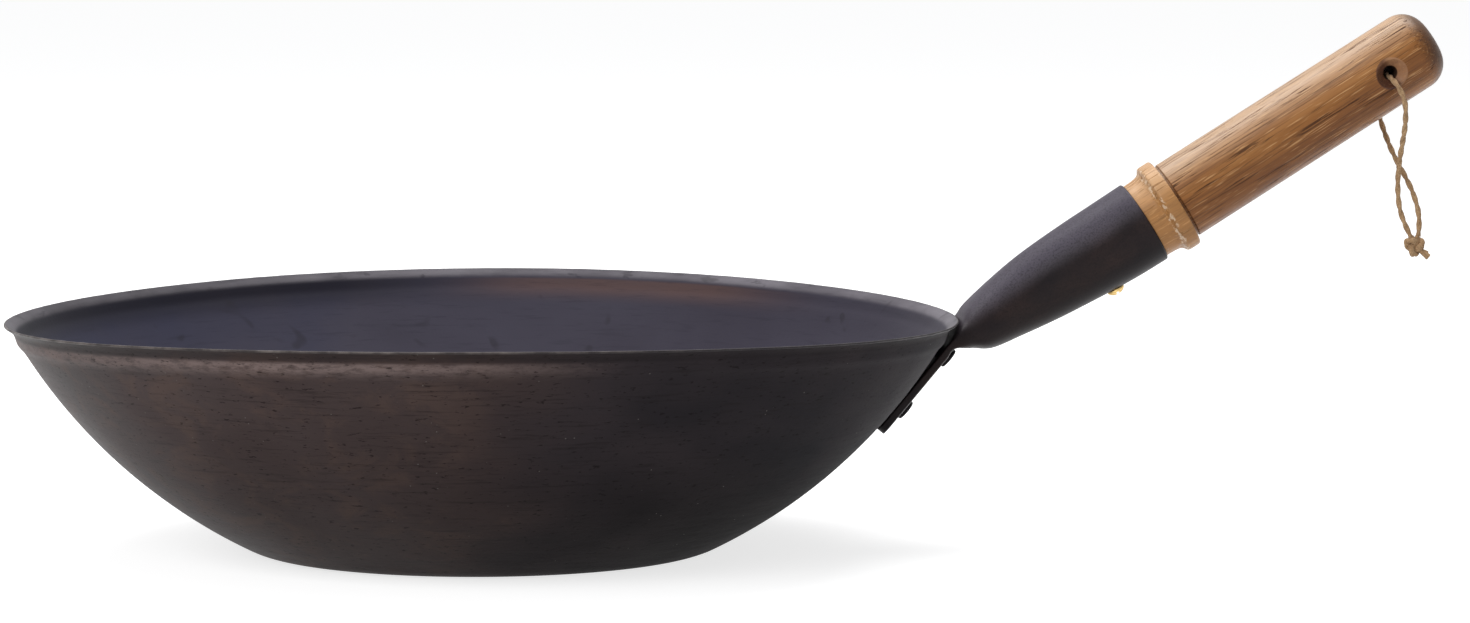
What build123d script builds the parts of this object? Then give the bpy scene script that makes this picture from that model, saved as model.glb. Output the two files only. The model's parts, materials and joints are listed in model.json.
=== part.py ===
from build123d import *
from math import asin, atan2, cos, degrees, pi, radians, sin, sqrt, tan
import os

# Carbon steel wok with one socketed wooden handle. Millimetres, +Z up.
# The origin is the middle of the flat underside, and the handle points along +X.

# Bowl: a flat base, a spherical wall and a short flared lip.
# The sphere passes the base's radius at the floor and the rim's radius at the wall's height.
rim_radius = 165.0
wall_height = 83.24
base_radius = 77.5
base_round = 25.0
bowl_sheet = 1.2
lip_slope = 30.0
lip_run = 2.4
lip_bend = 4.0

# Tongue of the handle socket, riveted to the wall
tongue_from_lip = 31.9
tongue_lip_gap = 4.5
tongue_thickness = 2.7
tongue_gap = 0.15
tongue_below = 11.2
tongue_root_width = 36.0
tongue_end_width = 31.0
tongue_corner = 5.0
root_step = 0.2
root_shoulder = 1.0

# Section where the socket has passed the lip: how far it is ahead of the rim's edge,
# and how high its crest is above that edge
lip_pass_ahead = 5.05
lip_pass_crest = 2.15
lip_pass_height = 17.6
lip_pass_width = 31.6
lip_pass_tilt = 34.0

# Socket: a steel tube that narrows from its mouth and is pressed flat into the tongue.
# Each section has a place, a drop below the axis, and is so much lower and narrower than the mouth.
handle_tilt = 32.3
socket_wall = 1.3
mouth_diameter = 30.5
mouth_from_lip, mouth_rise = 68.4, -0.65
neck_from_lip, neck_drop, neck_lower, neck_narrower = 11.6, -0.85, 7.9, 3.3
waist_from_lip, waist_drop, waist_lower, waist_narrower = 25.4, -0.8, 4.0, 4.2
taper_distance, taper_drop, taper_lower, taper_narrower = 26.4, -0.4, 1.6, 2.0
collar_distance, collar_drop, collar_lower, collar_narrower = 13.0, -0.05, 0.5, 0.9

# Rivets through the tongue and the wall
rivet_radius = 2.5
rivet_clearance = 0.05
rivet_head_radius = 3.7
rivet_head_height = 1.8
rivet_head_round = 1.4
rivet_inside_radius = 4.2
rivet_inside_height = 1.5
rivet_inside_round = 1.2
lower_rivet_place = 0.0
upper_rivet_from_root = 4.0
seat_clearance = 0.05

# Wooden handle: spigot, neck, ring and grip, turned in one piece
handle_length = 118.9
spigot_length = 38.0
spigot_end_clearance = 0.4
spigot_clearance = 0.15
spigot_chamfer = 1.0
neck_radius = 14.2
neck_hollow = 0.15
ring_root_radius = 14.7
ring_radius = 16.85
ring_start = 6.2
ring_side = 0.65
ring_cove = 0.35
ring_face = 4.2
ring_round = 0.7
groove_width = 1.3
groove_depth = 0.3
grip_radius = 14.2
grip_end_round = 9.0

# Cross hole for the hanging loop, rolled a little about the handle's axis
hole_from_end = 20.05
hole_roll = 4.6
hole_radius = 2.45
sink_radius = 5.75

# Brass round-head screw through the underside of the socket
screw_place = 21.2
screw_radius = 1.7
screw_clearance = 0.1
screw_length = 12.0
screw_head_radius = 3.15
screw_head_height = 1.9
screw_head_rim = 0.5
screw_head_seat = 0.08
screw_slot_width = 1.0
screw_slot_depth = 1.0

# Jute twine of the hanging loop
twine_diameter = 2.2
twine_hole_clearance = 0.15
run_share = 0.45
exit_stand = 1.65
knot_radius = 4.3
knot_half_height = 3.8
knot_flat_radius = 1.6
knot_place = (11.8, 0.0, -60.8)
tail_reach = (4.6, -1.2, -4.3)

# How far every cutting tool runs past the face it cuts
overrun = 4.0

# Bowl
bowl_centre = Vector(0, 0, (rim_radius**2 - base_radius**2 + wall_height**2) / (2 * wall_height))
bowl_radius = sqrt(bowl_centre.Z**2 + base_radius**2)
flat_radius = sqrt((bowl_radius - base_round) ** 2 - (bowl_centre.Z - base_round) ** 2)
round_angle = degrees(atan2(flat_radius, bowl_centre.Z - base_round))
lip_reach = rim_radius + lip_bend * sin(radians(lip_slope)) - lip_run * cos(radians(lip_slope))
wall_angle = degrees(asin(lip_reach / (bowl_radius + lip_bend)))
lip_vector = Vector(lip_run * cos(radians(lip_slope)), lip_run * sin(radians(lip_slope)))
bend_rise = lip_bend * cos(radians(lip_slope)) + lip_vector.Y
rim_height = bowl_centre.Z - (bowl_radius + lip_bend) * cos(radians(wall_angle)) + bend_rise

tongue_slope = wall_angle - degrees(tongue_from_lip / bowl_radius)
wall_normal = Vector(sin(radians(tongue_slope)), 0, -cos(radians(tongue_slope)))
tongue_line = Vector(cos(radians(tongue_slope)), 0, sin(radians(tongue_slope)))
tongue_plane = Plane(bowl_centre + wall_normal * bowl_radius, x_dir=tongue_line, z_dir=wall_normal)
tongue_above = tongue_from_lip - tongue_lip_gap
upper_rivet_place = tongue_above - upper_rivet_from_root
rivet_places = (lower_rivet_place, upper_rivet_place)

with BuildPart() as wok_bowl:
    with BuildSketch(Plane.XZ):
        with BuildLine():
            outer_base = Line((0, 0), (flat_radius, 0))
            outer_round = JernArc(outer_base @ 1, outer_base % 1, base_round, round_angle)
            outer_wall = JernArc(outer_round @ 1, outer_round % 1, bowl_radius, wall_angle - round_angle)
            outer_bend = JernArc(outer_wall @ 1, outer_wall % 1, lip_bend, lip_slope - wall_angle)
            outer_lip = Line(outer_bend @ 1, outer_bend @ 1 + lip_vector)
            inner_base = Line((0, bowl_sheet), (flat_radius, bowl_sheet))
            inner_round = JernArc(
                inner_base @ 1, inner_base % 1, base_round - bowl_sheet, round_angle
            )
            inner_wall = JernArc(
                inner_round @ 1, inner_round % 1, bowl_radius - bowl_sheet, wall_angle - round_angle
            )
            inner_bend = JernArc(
                inner_wall @ 1, inner_wall % 1, lip_bend + bowl_sheet, lip_slope - wall_angle
            )
            inner_lip = Line(inner_bend @ 1, inner_bend @ 1 + lip_vector)
            Line(outer_lip @ 1, inner_lip @ 1)
            Line(inner_base @ 0, outer_base @ 0)
        make_face()
    revolve(axis=Axis.Z)
    with Locations(*[tongue_plane * Location((place, 0)) for place in rivet_places]):
        Cylinder(
            rivet_radius + rivet_clearance, tongue_thickness + overrun, mode=Mode.SUBTRACT
        )
wok_bowl.part.label = "wok_bowl"

# Handle socket
handle_line = Vector(cos(radians(handle_tilt)), 0, sin(radians(handle_tilt)))
handle_rise = Vector(-sin(radians(handle_tilt)), 0, cos(radians(handle_tilt)))
lip_pass_line = Vector(cos(radians(lip_pass_tilt)), 0, sin(radians(lip_pass_tilt)))
lip_pass_up = Vector(-sin(radians(lip_pass_tilt)), 0, cos(radians(lip_pass_tilt)))
lip_pass = Vector(rim_radius, 0, rim_height) + lip_pass_line * lip_pass_ahead
lip_pass -= lip_pass_up * (lip_pass_height / 2 - lip_pass_crest)
mouth = lip_pass + handle_line * mouth_from_lip + handle_rise * mouth_rise
handle_axis = Axis(mouth, handle_line)
neck_distance = mouth_from_lip - neck_from_lip
waist_distance = mouth_from_lip - waist_from_lip


def tube_section(distance, drop, lower, narrower):
    origin = mouth - handle_line * distance - handle_rise * drop
    plane = Plane(origin, x_dir=(0, 1, 0), z_dir=handle_line)
    return plane, mouth_diameter - narrower, mouth_diameter - lower


root_offset = tongue_gap + tongue_thickness / 2
root_origin = tongue_plane.from_local_coords(Vector(tongue_above, 0, root_offset))
root_section = (
    Plane(root_origin, x_dir=(0, 1, 0), z_dir=tongue_line),
    tongue_root_width - 2 * root_shoulder,
    tongue_thickness - 2 * root_step,
)
lip_section = (
    Plane(lip_pass, x_dir=(0, 1, 0), z_dir=lip_pass_line),
    lip_pass_width,
    lip_pass_height,
)
open_sections = (
    lip_section,
    tube_section(neck_distance, neck_drop, neck_lower, neck_narrower),
    tube_section(waist_distance, waist_drop, waist_lower, waist_narrower),
    tube_section(taper_distance, taper_drop, taper_lower, taper_narrower),
    tube_section(collar_distance, collar_drop, collar_lower, collar_narrower),
    tube_section(0, 0, 0, 0),
)

# The screw enters the socket's underside, square to its taper
collar_foot = mouth - handle_line * collar_distance
collar_foot -= handle_rise * (collar_drop + (mouth_diameter - collar_lower) / 2)
taper_foot = mouth - handle_line * taper_distance
taper_foot -= handle_rise * (taper_drop + (mouth_diameter - taper_lower) / 2)
screw_share = (screw_place - collar_distance) / (taper_distance - collar_distance)
screw_normal = Vector(0, 1, 0).cross(collar_foot - taper_foot).normalized()
screw_plane = Plane(
    collar_foot + (taper_foot - collar_foot) * screw_share + screw_normal * screw_head_seat,
    x_dir=(0, 1, 0),
    z_dir=screw_normal,
)

with BuildPart() as handle_socket:
    with BuildSketch(tongue_plane):
        with BuildLine():
            Polyline(
                (-tongue_below, -tongue_end_width / 2),
                (tongue_above, -tongue_root_width / 2),
                (tongue_above, tongue_root_width / 2),
                (-tongue_below, tongue_end_width / 2),
                close=True,
            )
        tongue_outline = make_face()
        fillet(tongue_outline.vertices().group_by(Axis.X)[0], tongue_corner)
    extrude(amount=tongue_thickness + overrun, both=True)
    tongue_axis_plane = Plane(bowl_centre, x_dir=(0, 1, 0), z_dir=tongue_line)
    with Locations(tongue_axis_plane):
        Cylinder(
            bowl_radius + tongue_gap + tongue_thickness, bowl_radius, mode=Mode.INTERSECT
        )
        Cylinder(bowl_radius + tongue_gap, bowl_radius, mode=Mode.SUBTRACT)
    for plane, width, height in (root_section, lip_section):
        with BuildSketch(plane):
            Ellipse(width / 2, height / 2)
    loft(ruled=True)
    for plane, width, height in open_sections:
        with BuildSketch(plane):
            Ellipse(width / 2, height / 2)
    loft()
    for plane, width, height in open_sections:
        with BuildSketch(plane):
            Ellipse(width / 2 - socket_wall, height / 2 - socket_wall)
    loft(mode=Mode.SUBTRACT)
    with Locations(*[tongue_plane * Location((place, 0)) for place in rivet_places]):
        Cylinder(
            rivet_radius + rivet_clearance, 2 * (tongue_thickness + overrun), mode=Mode.SUBTRACT
        )
    with Locations(screw_plane):
        Cylinder(screw_radius + screw_clearance, 2 * overrun, mode=Mode.SUBTRACT)
handle_socket.part.label = "handle_socket"


# Rivets
def rivet(place):
    """One rivet: a low head inside the bowl, a shank and a button head outside the tongue."""
    inside = sqrt((bowl_radius - bowl_sheet) ** 2 - place**2) - bowl_radius
    outside = tongue_gap + tongue_thickness + seat_clearance
    centre_line = Plane(
        tongue_plane.from_local_coords(Vector(place, 0, 0)), x_dir=tongue_line, z_dir=wall_normal
    )
    with BuildPart() as one:
        with BuildSketch(centre_line.offset(inside - rivet_inside_height)):
            Circle(rivet_inside_radius)
        extrude(amount=rivet_inside_height + bowl_sheet)
        fillet(edges().sort_by(Axis(centre_line.origin, wall_normal))[0], rivet_inside_round)
        with Locations(bowl_centre):
            Sphere(
                bowl_radius - bowl_sheet - seat_clearance, rotation=(0, 0, 90), mode=Mode.INTERSECT
            )
        with BuildSketch(centre_line.offset(inside - rivet_inside_height / 2)):
            Circle(rivet_radius)
        extrude(amount=outside - inside + rivet_inside_height / 2)
        with BuildSketch(centre_line.offset(outside)):
            Circle(rivet_head_radius)
        extrude(amount=rivet_head_height)
        fillet(edges().sort_by(Axis(centre_line.origin, wall_normal))[-1], rivet_head_round)
    return one.part


rivet_lower = rivet(lower_rivet_place)
rivet_lower.label = "rivet_lower"
rivet_upper = rivet(upper_rivet_place)
rivet_upper.label = "rivet_upper"

# Wooden handle
profile_plane = Plane(mouth, x_dir=handle_rise, z_dir=(0, 1, 0))
spigot_mouth_radius = mouth_diameter / 2 - socket_wall - spigot_clearance
spigot_end_share = (spigot_length - taper_distance) / (waist_distance - taper_distance)
spigot_end_lower = taper_lower + (waist_lower - taper_lower) * spigot_end_share
spigot_end_drop = taper_drop + (waist_drop - taper_drop) * spigot_end_share
spigot_end_bore = (mouth_diameter - spigot_end_lower) / 2 - socket_wall - abs(spigot_end_drop)
spigot_end_radius = spigot_end_bore - spigot_end_clearance
ring_end = ring_start + 2 * ring_side + ring_face + ring_round
groove_radius = grip_radius - groove_depth
hole_line = Vector(0, -cos(radians(hole_roll)), 0) - handle_rise * sin(radians(hole_roll))
hole_centre = mouth + handle_line * (handle_length - hole_from_end)
hole_plane = Plane(hole_centre, x_dir=handle_line, z_dir=hole_line)
sink_depth = sink_radius - hole_radius

with BuildPart() as wooden_handle:
    with BuildSketch(profile_plane) as turned:
        with BuildLine():
            Polyline(
                (0, seat_clearance),
                (0, -spigot_length),
                (spigot_end_radius - spigot_chamfer, -spigot_length),
                (spigot_end_radius, spigot_chamfer - spigot_length),
                (spigot_mouth_radius, seat_clearance),
                (neck_radius, seat_clearance),
            )
            neck_end = (ring_root_radius, ring_start)
            SagittaArc((neck_radius, seat_clearance), neck_end, neck_hollow)
            ring_foot = (ring_radius, ring_start + 2 * ring_side)
            SagittaArc(neck_end, ring_foot, -ring_cove)
            Polyline(
                ring_foot,
                (ring_radius, ring_end - ring_round),
                (ring_radius - ring_round, ring_end),
                (groove_radius, ring_end),
                (groove_radius, ring_end + groove_width),
                (grip_radius, ring_end + groove_width),
                (grip_radius, handle_length - grip_end_round),
            )
            RadiusArc(
                (grip_radius, handle_length - grip_end_round),
                (grip_radius - grip_end_round, handle_length),
                -grip_end_round,
            )
            Polyline(
                (grip_radius - grip_end_round, handle_length),
                (0, handle_length),
                (0, seat_clearance),
            )
        make_face()
    revolve(axis=handle_axis)
    with Locations(hole_plane):
        Cylinder(hole_radius, 2 * (grip_radius + overrun), mode=Mode.SUBTRACT)
    for side_line in (hole_line, -hole_line):
        side_plane = Plane(hole_centre, x_dir=handle_line, z_dir=side_line)
        with Locations(side_plane.offset(grip_radius - sink_depth)):
            Cone(
                hole_radius,
                sink_radius + overrun,
                sink_depth + overrun,
                align=(Align.CENTER, Align.CENTER, Align.MIN),
                mode=Mode.SUBTRACT,
            )
    with Locations(screw_plane):
        Cylinder(
            screw_radius + screw_clearance / 2,
            2 * (screw_length + screw_clearance),
            mode=Mode.SUBTRACT,
        )
wooden_handle.part.label = "wooden_handle"

# Screw
with BuildPart() as socket_screw:
    with BuildSketch(screw_plane):
        Circle(screw_radius)
    extrude(amount=-screw_length)
    with BuildSketch(Plane(screw_plane.origin, x_dir=(0, 1, 0), z_dir=-screw_plane.y_dir)):
        with BuildLine():
            Polyline(
                (0, screw_head_height),
                (0, 0),
                (screw_head_radius, 0),
                (screw_head_radius, screw_head_rim),
            )
            ThreePointArc(
                (screw_head_radius, screw_head_rim),
                (
                    screw_head_radius * sin(pi / 4),
                    screw_head_rim + (screw_head_height - screw_head_rim) * cos(pi / 4),
                ),
                (0, screw_head_height),
            )
        make_face()
    revolve(axis=Axis(screw_plane.origin, screw_plane.z_dir))
    with Locations(screw_plane.offset(screw_head_height)):
        Box(
            2 * (screw_head_radius + overrun),
            screw_slot_width,
            2 * screw_slot_depth,
            mode=Mode.SUBTRACT,
        )
socket_screw.part.label = "socket_screw"

# Hanging loop: one length of twine through the cross hole, its two ends tied in a knot
twine_radius = twine_diameter / 2
pivot = hole_centre - Vector(0, 0, hole_radius - twine_radius - twine_hole_clearance)
front_route = (
    (5.0, -16.1, -8.7),
    (5.7, -13.3, -17.0),
    (5.6, -7.9, -24.7),
    (5.3, -3.4, -32.1),
    (5.3, -1.6, -40.2),
    (6.1, -1.1, -47.8),
    (8.5, -0.7, -53.9),
    (10.4, -0.4, -57.5),
)
back_route = (
    (0.4, 16.6, -7.3),
    (1.5, 14.0, -15.9),
    (3.3, 8.9, -23.6),
    (5.5, 4.6, -30.1),
    (8.5, 2.4, -36.0),
    (11.5, 1.6, -42.1),
    (13.4, 1.0, -48.6),
    (13.7, 0.6, -53.9),
    (13.2, 0.4, -57.5),
)
exit_reach = grip_radius + exit_stand
front_exit = pivot + hole_line * exit_reach
back_exit = pivot - hole_line * exit_reach
route = [pivot + Vector(*point) for point in reversed(front_route)]
route += [front_exit, back_exit]
route += [pivot + Vector(*point) for point in back_route]

runs = [(b - a).length for a, b in zip(route, route[1:])]
turns = [(b - a).get_angle(c - b) for a, b, c in zip(route, route[1:], route[2:])]
radii = [
    run_share * min(before, after) / tan(radians(turn / 2))
    for before, after, turn in zip(runs, runs[1:], turns)
]
print("twine runs", [round(run, 1) for run in runs])
print("twine turns", [round(turn) for turn in turns])
print("twine radii", [round(radius, 1) for radius in radii])

with BuildPart() as twine_loop:
    with BuildLine() as twine_line:
        FilletPolyline(*route, radius=radii)
    twine_path = twine_line.wire()
    with BuildSketch(Plane(twine_path @ 0, z_dir=twine_path % 0)):
        Circle(twine_radius)
    sweep(path=twine_path)
twine_loop.part.label = "twine_loop"
twine_length = twine_path.length
print("twine length", round(twine_length, 1))
print("twine volume share", round(twine_loop.part.volume / (pi * twine_radius**2 * twine_length), 4))

knot_centre = pivot + Vector(*knot_place)
tail = Vector(*tail_reach)
with BuildPart() as twine_knot:
    with BuildSketch(Plane(knot_centre, x_dir=(1, 0, 0), z_dir=(0, -1, 0))):
        with BuildLine():
            Polyline(
                (knot_flat_radius, knot_half_height),
                (0, knot_half_height),
                (0, -knot_half_height),
                (knot_flat_radius, -knot_half_height),
            )
            ThreePointArc(
                (knot_flat_radius, -knot_half_height),
                (knot_radius, 0),
                (knot_flat_radius, knot_half_height),
            )
        make_face()
    revolve(axis=Axis(knot_centre, (0, 0, 1)))
    with BuildSketch(Plane(knot_centre, z_dir=tail)):
        Circle(twine_radius)
    extrude(amount=tail.length)
twine_knot.part.label = "twine_knot"

os.makedirs("parts", exist_ok=True)
export_step(wok_bowl.part, "parts/wok_bowl.step")
export_step(handle_socket.part, "parts/handle_socket.step")
export_step(rivet_lower, "parts/rivet_lower.step")
export_step(rivet_upper, "parts/rivet_upper.step")
export_step(wooden_handle.part, "parts/wooden_handle.step")
export_step(socket_screw.part, "parts/socket_screw.step")
export_step(twine_loop.part, "parts/twine_loop.step")
export_step(twine_knot.part, "parts/twine_knot.step")
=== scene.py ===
import json
import random
from math import asin, atan2, copysign, cos, exp, pi, radians, sin, sqrt, tau

import bmesh
import bpy
from mathutils import Matrix, Vector, noise


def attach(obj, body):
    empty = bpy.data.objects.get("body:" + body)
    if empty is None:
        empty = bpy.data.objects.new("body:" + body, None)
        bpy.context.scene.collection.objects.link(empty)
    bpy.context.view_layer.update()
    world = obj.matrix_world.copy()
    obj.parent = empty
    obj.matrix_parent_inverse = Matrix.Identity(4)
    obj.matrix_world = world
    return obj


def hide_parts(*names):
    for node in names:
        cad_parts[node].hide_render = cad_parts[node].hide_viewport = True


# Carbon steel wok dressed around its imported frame. Metres, +Z up.
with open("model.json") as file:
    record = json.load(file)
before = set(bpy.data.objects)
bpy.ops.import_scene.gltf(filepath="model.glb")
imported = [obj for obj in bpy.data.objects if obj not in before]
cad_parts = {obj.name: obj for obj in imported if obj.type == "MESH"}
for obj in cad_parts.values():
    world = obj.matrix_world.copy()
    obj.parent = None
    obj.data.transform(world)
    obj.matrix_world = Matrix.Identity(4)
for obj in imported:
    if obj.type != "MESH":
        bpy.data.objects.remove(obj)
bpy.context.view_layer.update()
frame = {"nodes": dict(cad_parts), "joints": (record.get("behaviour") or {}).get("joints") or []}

# Camera, fitted to the rim and the bowl's outline in the photograph. Its place is turned
# about the bowl's axis, because the handle points a little away from the camera.
camera_place = (0.08735, -1.980, 0.2596)
camera_turn = radians(4.5)
camera_pitch = radians(5.105)
camera_lens = 140.56
camera_sensor = 36.0

# Studio. Each lamp has its name, place, target, width, depth and power in watts.
ambient_colour = (0.97, 0.98, 1.0, 1)
ambient_strength = 0.42
backdrop_colour = (0.8, 0.8, 0.8, 1)
backdrop_strength = 1.0
floor_reach = 12.0
floor_colour = (0.55, 0.55, 0.55, 1)
floor_glow = 0.74
lamps = (
    ("key", (-1.4, -1.7, 1.45), (0.0, 0, 0.06), 2.0, 1.5, 38),
    ("top", (0.1, 0.45, 1.65), (0.05, 0, 0.08), 1.8, 1.0, 34),
)

# Bowl
rim_radius = 0.165
bowl_radius = 0.186
base_radius = 0.0775
base_round = 0.025
bowl_sheet = 0.0012
lip_slope = radians(30)
lip_run = 0.0024
lip_bend = 0.004
lip_edge_sheet = 0.0008
bend_thins_share = 2 / 3
saddle_rise = 0.0043
saddle_start = 0.020
bulge_out = 0.0006
bulge_spread = 0.0022
bulge_below_lip = 0.0036
bulge_inside_share = 0.35
wall_waver = 0.00012
wall_waver_length = 0.045
wall_waver_start = 0.002
wall_waver_full = 0.012
edge_waver = 0.00007
edge_wavers_per_metre = 260
edge_waver_width = 0.004

# Steps of the bowl's outline, from its middle to its edge, and round it
flat_steps = 6
round_steps = 10
wall_steps = 40
fine_stretch = 0.014
fine_steps = 34
bend_steps = 8
run_steps = 3
edge_steps = 8
bowl_segments = 288

# Handle socket
tongue_from_lip = 0.0319
tongue_thickness = 0.0033
tongue_gap = 0.00015
tongue_below = 0.0112
tongue_above = 0.0274
tongue_root_width = 0.036
tongue_end_width = 0.031
tongue_corner = 0.005
tongue_squareness = 7.0
tongue_stations = (0.0, 0.010, 0.018, 0.0235)
handle_tilt = radians(32.3)
mouth_diameter = 0.0305
mouth_beyond_rim = 0.06607
mouth_above_rim = 0.03331
socket_wall = 0.0013
socket_edge_round = 0.0008
hollow_height = 6 * socket_wall
corner_steps = 5
socket_steps = 12
socket_edge_steps = 4
socket_segments = 120

# The socket's sections at the lip: crest and foot, each beyond the rim's edge and above it,
# width and squareness
lip_sections = (
    ((0.0005, 0.0002), (0.0043, -0.0101), 0.033, 3.2),
    ((0.0030, 0.0046), (0.0122, -0.0103), 0.0316, 2.6),
)

# Its sections along the handle: distance from the mouth, crest above the handle's axis, foot
# below it, width and squareness
tube_sections = (
    (0.0568, 0.01215, 0.01045, 0.0272, 2.2),
    (0.0430, 0.01407, 0.01247, 0.0263, 2.0),
    (0.0264, 0.01485, 0.01405, 0.0285, 2.0),
    (0.0130, 0.01505, 0.01500, 0.0296, 2.0),
    (0.0, mouth_diameter / 2, mouth_diameter / 2, mouth_diameter, 2.0),
)

# Rivets
rivet_radius = 0.0025
rivet_head_radius = 0.0037
rivet_head_height = 0.0023
rivet_head_round = 0.0007
rivet_inside_radius = 0.0042
rivet_inside_height = 0.0016
rivet_inside_round = 0.0011
rivet_middle_radius = 0.0002
rivet_sink = 0.0001
upper_rivet_from_root = 0.004
turned_segments = 48

# Wooden handle
handle_length = 0.1189
spigot_length = 0.038
spigot_tip_radius = 0.0005
spigot_end_radius = 0.0112
spigot_end_round = 0.001
spigot_mouth_radius = 0.01375
neck_radius = 0.0142
neck_edge_round = 0.0003
neck_swell = 0.0001
neck_swell_share = 0.55
neck_swell_round = 0.003
ring_root_radius = 0.0147
ring_root_round = 0.0016
ring_radius = 0.01685
ring_start = 0.0062
ring_shoulder = 0.0075
ring_shoulder_round = 0.0008
ring_end = 0.0124
ring_end_round = 0.0009
groove_width = 0.0013
groove_radius = 0.0139
groove_draft = 0.0001
groove_floor_share = 0.75
groove_ring_round = 0.0005
groove_grip_round = 0.0002
grip_radius = 0.0142
grip_taper = 0.0003
grip_end_round = 0.009
grip_end_middle = 0.0025
hole_place = 0.09885
hole_roll = radians(4.6)
hole_radius = 0.00245
sink_radius = 0.00575
cutter_overrun = 0.004
grip_steps = 40
grip_end_steps = 14
handle_segments = 160

# The fillet before the ring, torn by the tool
torn_before = 0.003
torn_fades_from = 0.0004
torn_fades_to = 0.0012
torn_depth = 0.00034
torn_fine_depth = 0.00014
torn_fine_scale = 2.7
torn_lengthwise = 420
torn_round = 5

# Twine, its route repeated from the solid's, as offsets from the pivot in the cross hole
twine_step = 0.0002
exit_reach = 0.01585
front_seed = 11
back_seed = 12
front_route = (
    (0.0050, -0.0161, -0.0087),
    (0.0057, -0.0133, -0.0170),
    (0.0056, -0.0079, -0.0247),
    (0.0053, -0.0034, -0.0321),
    (0.0053, -0.0016, -0.0402),
    (0.0061, -0.0011, -0.0478),
    (0.0085, -0.0007, -0.0539),
    (0.0104, -0.0004, -0.0575),
)
back_route = (
    (0.0004, 0.0166, -0.0073),
    (0.0015, 0.0140, -0.0159),
    (0.0033, 0.0089, -0.0236),
    (0.0055, 0.0046, -0.0301),
    (0.0085, 0.0024, -0.0360),
    (0.0115, 0.0016, -0.0421),
    (0.0134, 0.0010, -0.0486),
    (0.0137, 0.0006, -0.0539),
    (0.0132, 0.0004, -0.0575),
)

# Plies: radius, offset from the twine's middle and length of one turn
leg_plies = (0.00070, 0.00030, 0.0096)
knot_plies = (0.00092, 0.00036, 0.0090)
strand_plies = (0.0008, 0.00035, 0.0096)
ply_sides = 12
ply_swell = 0.14
ply_swells_per_metre = 700
ply_rough = 0.07
ply_roughs_per_metre = 1500
ply_roughs_round = 4

# Loose fibres, with shares of their own length
leg_fibres = 55
knot_fibres = 24
strand_fibres = 8
fibre_radius = 0.00003
fibre_lengths = (0.0008, 0.0021)
fibre_rise_share = 0.45
fibre_fall_share = 1.4
fibre_wander_share = 0.16
fibre_thins_share = 0.6
fibre_steps = 6

# Knot, its two cut tails as offsets from its middle
knot_place = Vector((0.0118, 0.0, -0.0608))
knot_across = 0.0028
knot_depth = 0.0028
knot_height = 0.0029
knot_seed = 31
knot_steps = 120
strand_seed = 41
strand_steps = 20
knot_tails = (Vector((0.0050, -0.0010, -0.0040)), Vector((0.0046, 0.0009, -0.0030)))

# Edges that bend more than this stay crisp
crease = radians(40)
twine_crease = radians(80)
socket_crease = radians(50)
grip_crease = radians(28)

# Where paint on the bowl starts and is full: metres above the lip's crease, along the sheet
highlight_band_start = (-0.0085, -0.0022)
highlight_band_end = (-0.0001, -0.0016)
lip_underside_shade = (-0.0012, 0.0004)
tint_start = (-0.011, -0.0025)
tint_end = (0.0002, -0.0012)
shade_start = (-0.0130, -0.0020)
lip_start = (-0.0008, 0.0012)

# The same across the bowl towards the handle, away from the camera and up its foot
tint_left = (-0.020, 0.030)
tint_right = (0.135, 0.070)
tint_back = (0.05, 0.12)
shade_right = (0.030, -0.060)
dark_edge = (-0.02, 0.09)
foot_shade = (0.055, 0.010)

# The same above the handle's axis, and along it from the socket's mouth
socket_highlight = (0.005, 0.0140)
socket_shade = (-0.001, -0.009)
oak_highlight = (0.0045, 0.0130)
pale_ring = (ring_end + 0.0004, ring_end)
glint_start = (ring_start - 0.0004, ring_start)
glint_end = (ring_shoulder + 0.0008, ring_shoulder)
cove_start = (ring_end, ring_end + 0.0003)
cove_end = (ring_end + 0.0016, ring_end + 0.0010)
end_shade = (handle_length - 0.0090, handle_length - 0.0015)
sink_shade = (hole_place + 0.0022, hole_place - 0.0010)

# The same from the cross hole's axis
sink_edge = (sink_radius + 0.0001, sink_radius - 0.0003)
bore_edge = (hole_radius + 0.0003, hole_radius)

# Places that several pieces share
bowl_centre =Vector((0, 0, sqrt(bowl_radius**2 - base_radius**2)))
flat_radius = sqrt((bowl_radius - base_round) ** 2 - (bowl_centre.z - base_round) ** 2)
round_angle = atan2(flat_radius, bowl_centre.z - base_round)
lip_reach = rim_radius + lip_bend * sin(lip_slope) - lip_run * cos(lip_slope)
bend_from_centre = bowl_radius + lip_bend
wall_angle = asin(lip_reach / bend_from_centre)
bend_across = bend_from_centre * sin(wall_angle)
bend_up = bowl_centre.z - bend_from_centre * cos(wall_angle)
rim_height = bend_up + lip_bend * cos(lip_slope) + lip_run * sin(lip_slope)
tongue_slope = wall_angle - tongue_from_lip / bowl_radius
wall_normal = Vector((sin(tongue_slope), 0, -cos(tongue_slope)))
tongue_line = Vector((cos(tongue_slope), 0, sin(tongue_slope)))
tongue_foot = bowl_centre + wall_normal * bowl_radius
sideways = Vector((0, 1, 0))
handle_line = Vector((cos(handle_tilt), 0, sin(handle_tilt)))
handle_rise = Vector((-sin(handle_tilt), 0, cos(handle_tilt)))
rim_edge = Vector((rim_radius, 0, rim_height))
mouth = rim_edge + Vector((mouth_beyond_rim, 0, mouth_above_rim))
hole_line = Vector((0, -cos(hole_roll), 0)) - handle_rise * sin(hole_roll)
hole_centre = mouth + handle_line * hole_place
pivot = Vector(frame["joints"][0]["pos_m"])


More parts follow.
